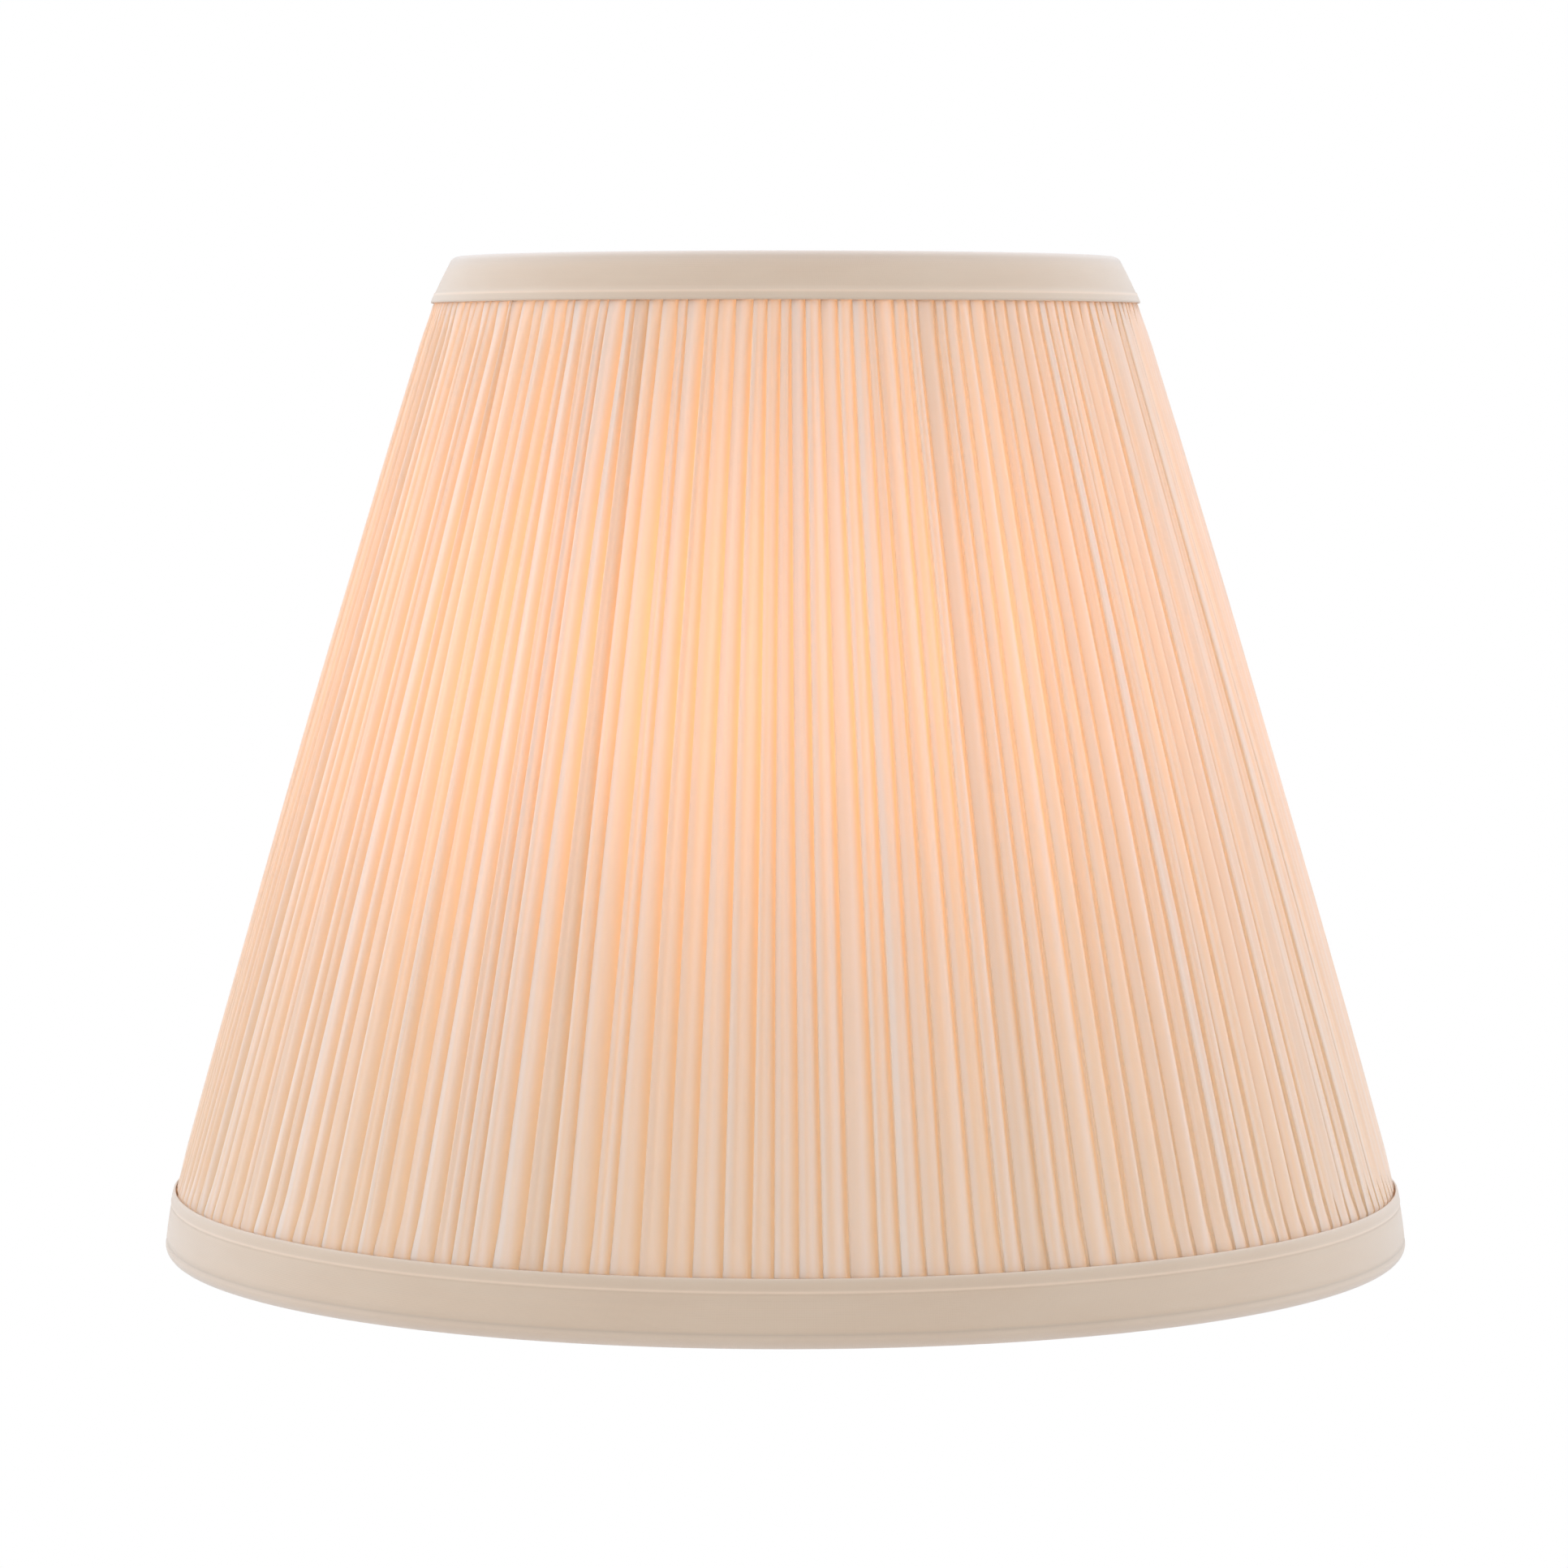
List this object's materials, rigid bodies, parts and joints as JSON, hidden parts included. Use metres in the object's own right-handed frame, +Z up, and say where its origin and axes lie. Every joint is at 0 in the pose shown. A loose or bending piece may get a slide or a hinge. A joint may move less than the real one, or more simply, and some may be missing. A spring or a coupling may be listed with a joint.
{
  "type": "lamp shade",
  "caption": "Soft-sided empire lamp shade: pleated fabric cover over a lining on a welded wire frame, bias trims, and a recessed spider washer for a harp.",
  "frame": {"origin": "centre of the bottom rim, on the plane that the shade stands on", "axes": "+Z up along the shade's axis, towards the smaller open end; +Y to the back, where the first spider arm points"},
  "size_m": [0.3302, 0.3302, 0.263],
  "materials": {
    "frame_wire": "white powder-coated steel wire",
    "washer": "zinc-plated pressed steel",
    "lining_fabric": "plain ivory lining cloth",
    "cover_fabric": "fine cream crepe, knife pleated",
    "trim_fabric": "cream bias-cut satin tape"
  },
  "bodies": {
    "root": {"top_ring": "frame_wire", "bottom_ring": "frame_wire", "rib_1": "frame_wire", "rib_2": "frame_wire", "rib_3": "frame_wire", "rib_4": "frame_wire", "rib_5": "frame_wire", "rib_6": "frame_wire", "rib_7": "frame_wire", "rib_8": "frame_wire", "spider_arm_1": "frame_wire", "spider_arm_2": "frame_wire", "spider_arm_3": "frame_wire", "spider_washer": "washer", "lining": "lining_fabric", "pleated_cover": "cover_fabric", "top_trim": "trim_fabric", "bottom_trim": "trim_fabric"}
  },
  "joints": []
}
